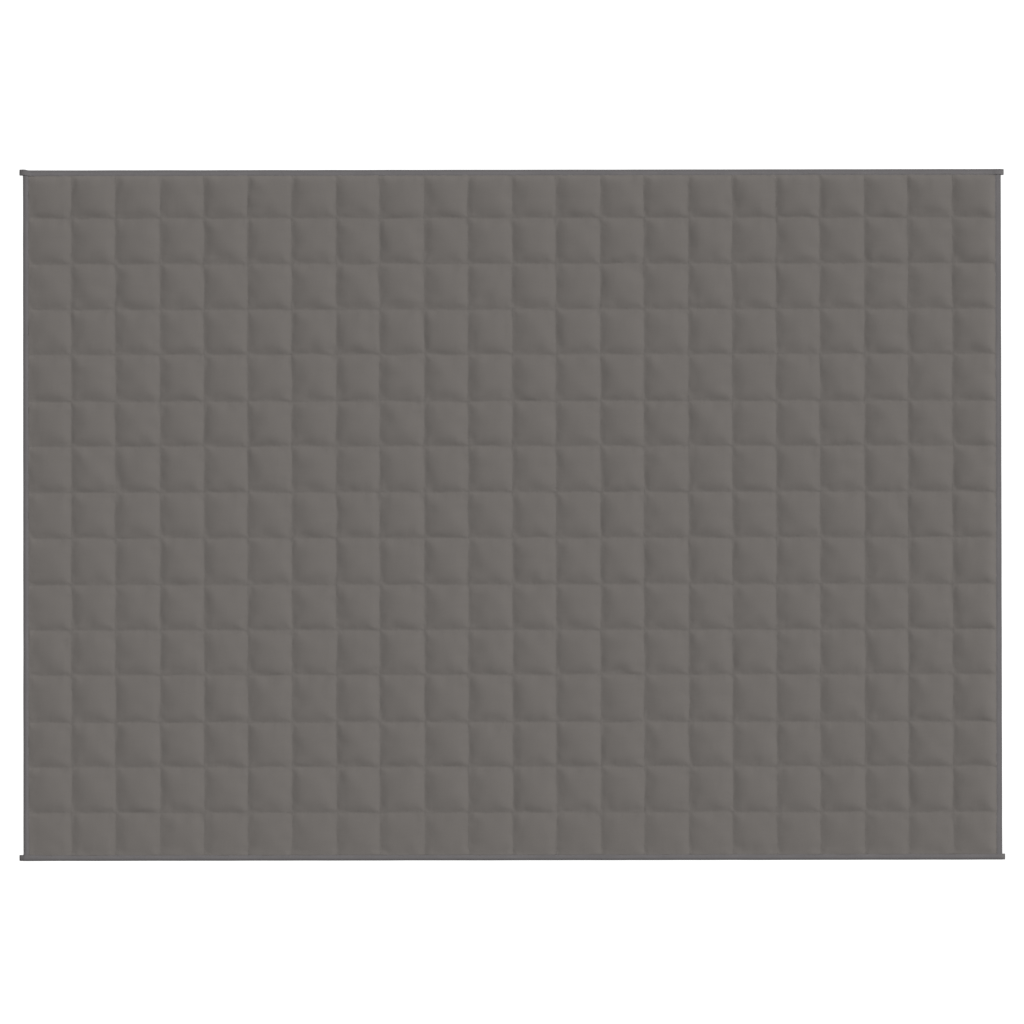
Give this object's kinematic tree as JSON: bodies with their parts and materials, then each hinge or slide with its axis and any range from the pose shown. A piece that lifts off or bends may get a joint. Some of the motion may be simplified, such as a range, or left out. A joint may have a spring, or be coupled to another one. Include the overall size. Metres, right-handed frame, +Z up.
{
  "type": "weighted blanket",
  "caption": "Flat quilted blanket of weight-filled square pockets between sewn seams, edged with folded binding tape that ends in small corner tabs.",
  "frame": {"origin": "centre of the blanket's box, on the surface that it lies on", "axes": "+X along the long side, +Y along the short side, +Z up out of the blanket's face"},
  "size_m": [2.2155, 1.555, 0.0126],
  "materials": {
    "quilt_cloth": "warm grey plain-weave cotton, quilted",
    "binding_tape": "neutral grey folded cotton tape"
  },
  "bodies": {
    "root": {"quilted_body": "quilt_cloth", "binding_left": "binding_tape", "binding_right": "binding_tape", "binding_top": "binding_tape", "binding_bottom": "binding_tape"}
  },
  "joints": []
}
